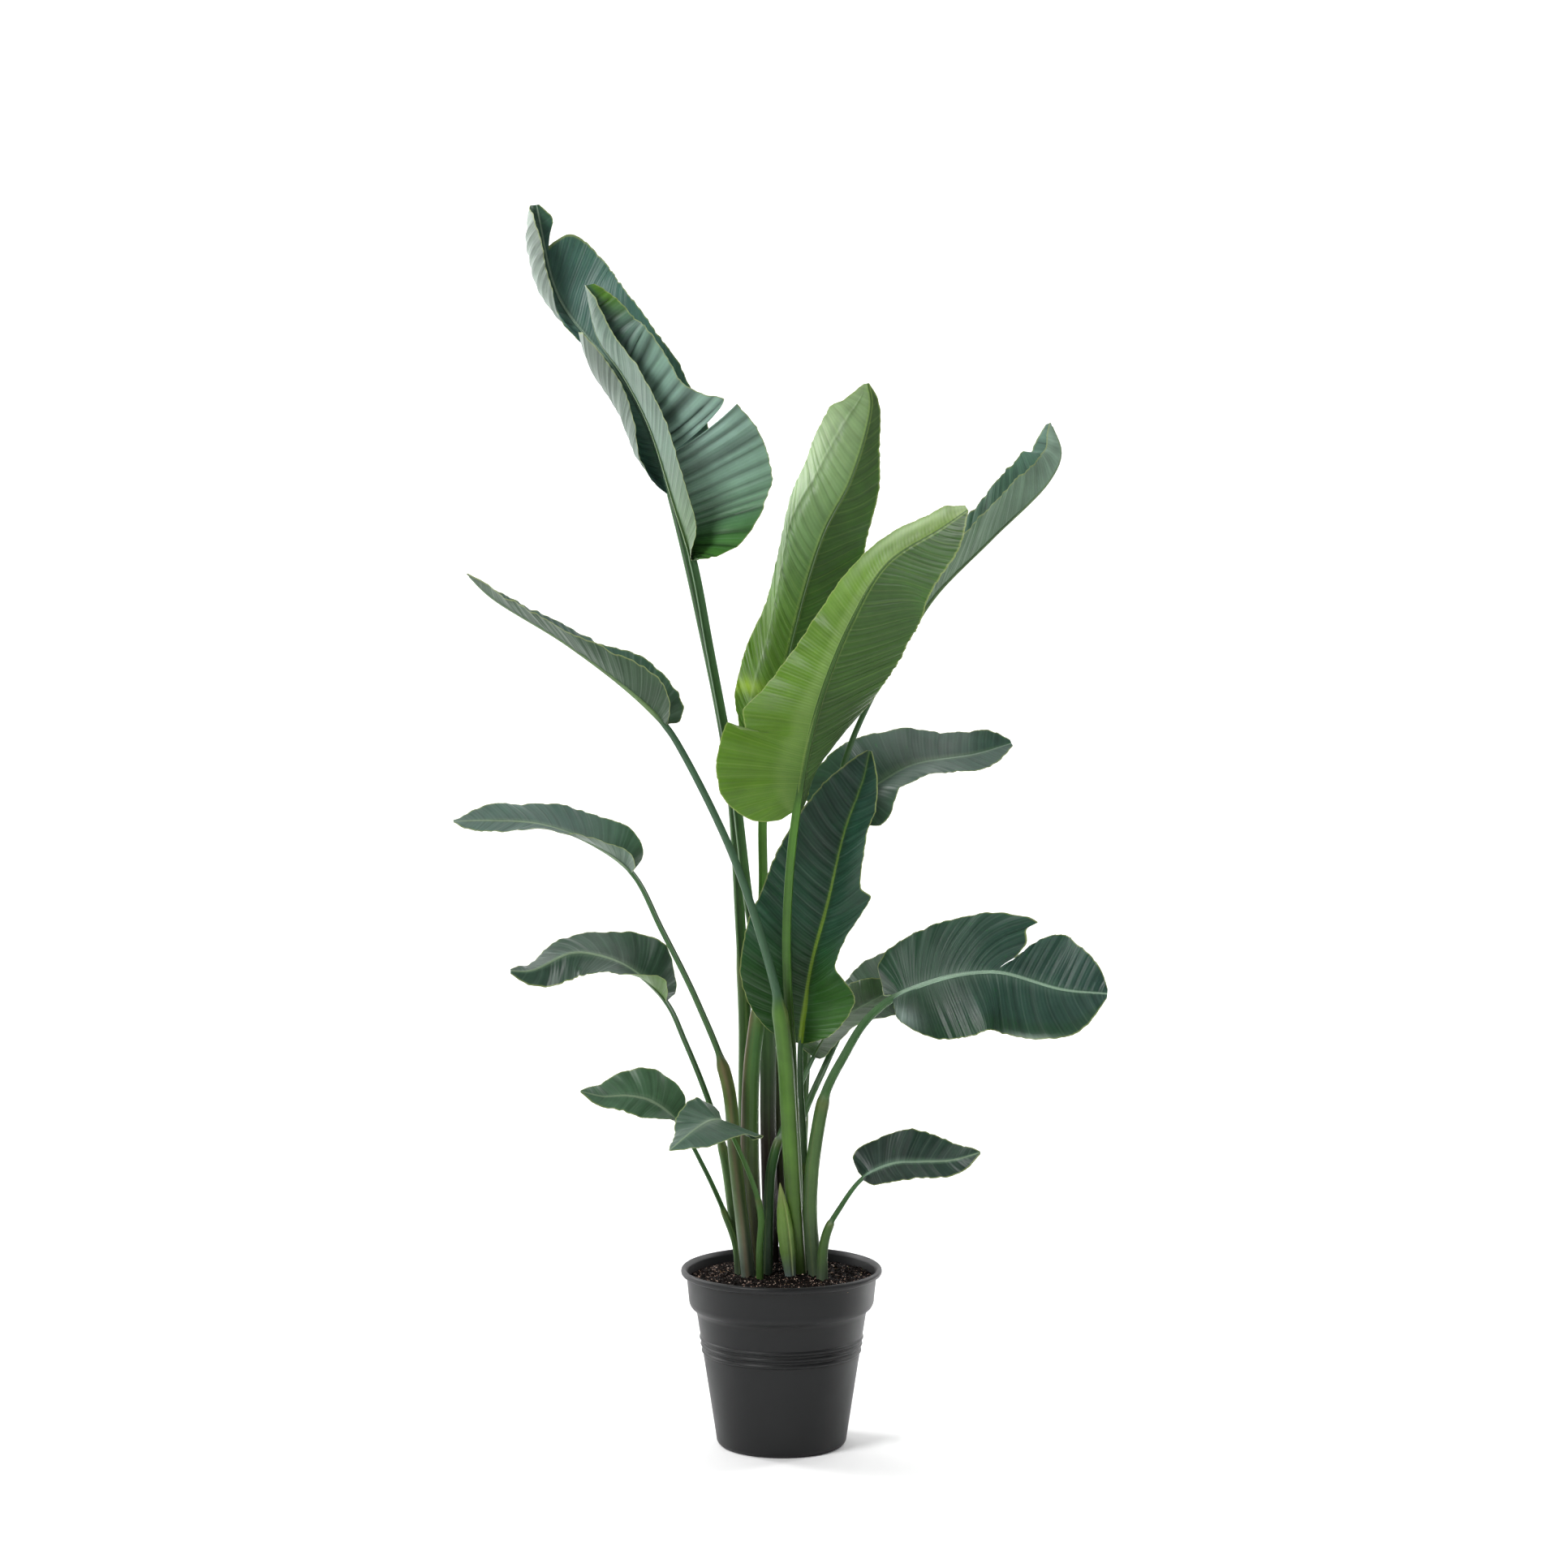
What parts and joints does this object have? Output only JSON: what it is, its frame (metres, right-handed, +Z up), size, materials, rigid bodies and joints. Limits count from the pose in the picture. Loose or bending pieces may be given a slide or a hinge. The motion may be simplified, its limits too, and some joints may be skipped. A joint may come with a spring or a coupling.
{
  "type": "potted bird of paradise",
  "caption": "Bird of paradise plant with broad torn and folded blades on tall grooved stalks that rise from sheathed shoots, in potting soil in a ribbed plastic nursery pot.",
  "frame": {"origin": "centre of the pot's flat underside", "axes": "+Z up along the pot's axis; the plant's broad side, with its upper leaf faces, looks towards -Y"},
  "size_m": [0.4348, 0.2107, 0.8466],
  "materials": {
    "pot_plastic": "moulded matte",
    "potting_soil": "moist peat crumbs",
    "mature_leaf": "waxy satin",
    "young_leaf": "waxy satin",
    "bract": "satin"
  },
  "bodies": {
    "root": {"pot": "pot_plastic", "soil": "potting_soil", "leaf_rear_left_tall": "mature_leaf", "leaf_rear_left_pleated": "mature_leaf", "leaf_right_shoot_left": "mature_leaf", "leaf_middle_tall_young": "young_leaf", "leaf_middle_front_young": "young_leaf", "leaf_rear_right_folded": "mature_leaf", "leaf_rear_right_drooping": "mature_leaf", "leaf_right_shoot_broad": "mature_leaf", "leaf_right_shoot_torn": "mature_leaf", "leaf_left_shoot_rear": "mature_leaf", "leaf_right_shoot_rear": "mature_leaf", "leaf_left_shoot_long": "mature_leaf", "leaf_left_shoot_arched": "mature_leaf", "leaf_left_shoot_low": "mature_leaf", "leaf_left_shoot_front": "mature_leaf", "leaf_right_shoot_low": "mature_leaf", "bract": "bract"}
  },
  "joints": []
}
